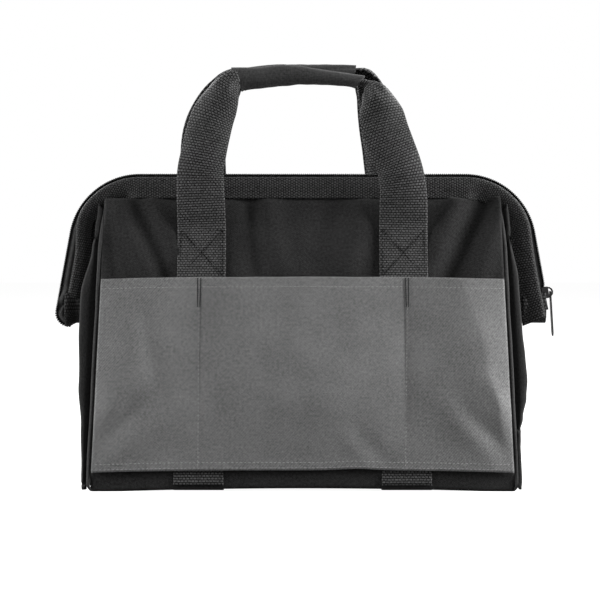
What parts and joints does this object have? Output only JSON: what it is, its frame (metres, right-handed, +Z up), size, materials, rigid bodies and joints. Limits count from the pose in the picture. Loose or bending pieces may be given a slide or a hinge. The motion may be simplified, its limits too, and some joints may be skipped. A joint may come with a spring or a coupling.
{
  "type": "zippered tool bag",
  "caption": "Wide-mouth cloth tool bag: sides hinged on a stiff base, outer slip pockets, a zipped mouth on pivoting steel frame wires, and webbing handles with grip sleeves.",
  "frame": {"origin": "on the floor under the middle of the bag", "axes": "+X along the bag to the slider's end, +Y from the front to the back, +Z up"},
  "size_m": [0.3955, 0.1842, 0.3299],
  "materials": {
    "black_cloth": "woven black cloth, matt",
    "grey_cloth": "coarse grey twill, matt",
    "webbing": "ribbed dark webbing, matt",
    "stiff_board": "plain stiffener board",
    "zip_coil": "black nylon coil",
    "frame_steel": "bare spring steel wire",
    "blackened_metal": "blackened, half gloss"
  },
  "bodies": {
    "root": {"base_panel": "black_cloth", "base_board": "stiff_board", "left_end_panel": "black_cloth", "right_end_panel": "black_cloth", "left_base_strap": "webbing", "right_base_strap": "webbing"},
    "front_side": {"front_panel": "black_cloth", "front_pocket": "grey_cloth", "front_piping": "black_cloth", "front_left_strap": "webbing", "front_right_strap": "webbing", "front_left_flap": "black_cloth", "front_right_flap": "black_cloth"},
    "front_rim": {"front_frame_wire": "frame_steel", "front_rim_webbing": "webbing", "front_zip_tape": "black_cloth", "front_zip_coil": "zip_coil", "left_pivot_rivet": "blackened_metal", "right_pivot_rivet": "blackened_metal", "left_wing_tab": "webbing", "right_wing_tab": "webbing"},
    "front_handle": {"front_handle_strap": "webbing", "front_grip_sleeve": "black_cloth"},
    "back_side": {"back_panel": "black_cloth", "back_pocket": "grey_cloth", "back_piping": "black_cloth", "back_left_strap": "webbing", "back_right_strap": "webbing", "back_left_flap": "black_cloth", "back_right_flap": "black_cloth"},
    "back_rim": {"back_frame_wire": "frame_steel", "back_rim_webbing": "webbing", "back_zip_tape": "black_cloth", "back_zip_coil": "zip_coil"},
    "back_handle": {"back_handle_strap": "webbing", "back_grip_sleeve": "black_cloth"},
    "slider": {"slider_body": "blackened_metal"},
    "pull": {"pull_tab": "blackened_metal"}
  },
  "joints": [
    {"name": "front_side_tilt", "type": "hinge", "parent": "root", "child": "front_side", "pos_m": [0, -0.09, 0.0022], "axis": [1, 0, 0], "range_deg": [0, 13]},
    {"name": "back_side_tilt", "type": "hinge", "parent": "root", "child": "back_side", "pos_m": [0, 0.09, 0.0022], "axis": [-1, 0, 0], "range_deg": [0, 13]},
    {"name": "front_rim_roll", "type": "hinge", "parent": "front_side", "child": "front_rim", "pos_m": [0, -0.008, 0.2225], "axis": [1, 0, 0], "range_deg": [0, 22.5]},
    {"name": "back_rim_roll", "type": "hinge", "parent": "back_side", "child": "back_rim", "pos_m": [0, 0.008, 0.2225], "axis": [-1, 0, 0], "range_deg": [0, 22.5]},
    {"name": "front_handle_swing", "type": "hinge", "parent": "front_side", "child": "front_handle", "pos_m": [0, -0.0209, 0.1997], "axis": [1, 0, 0], "range_deg": [0, 145]},
    {"name": "back_handle_swing", "type": "hinge", "parent": "back_side", "child": "back_handle", "pos_m": [0, 0.0209, 0.1997], "axis": [-1, 0, 0], "range_deg": [0, 145]},
    {"name": "slider_slide", "type": "slide", "parent": "front_rim", "child": "slider", "axis": [-0.1822, 0, 0.9833], "range_m": [0, 0.014]},
    {"name": "pull_swing", "type": "hinge", "parent": "slider", "child": "pull", "pos_m": [0.19741, 0, 0.14848], "axis": [0, -1, 0], "range_deg": [0, 160]}
  ],
  "couplings": [
    {"joint": "back_side_tilt", "follows": "front_side_tilt", "ratio": 1},
    {"joint": "front_rim_roll", "follows": "front_side_tilt", "ratio": 1.72},
    {"joint": "back_rim_roll", "follows": "front_side_tilt", "ratio": 1.72}
  ]
}
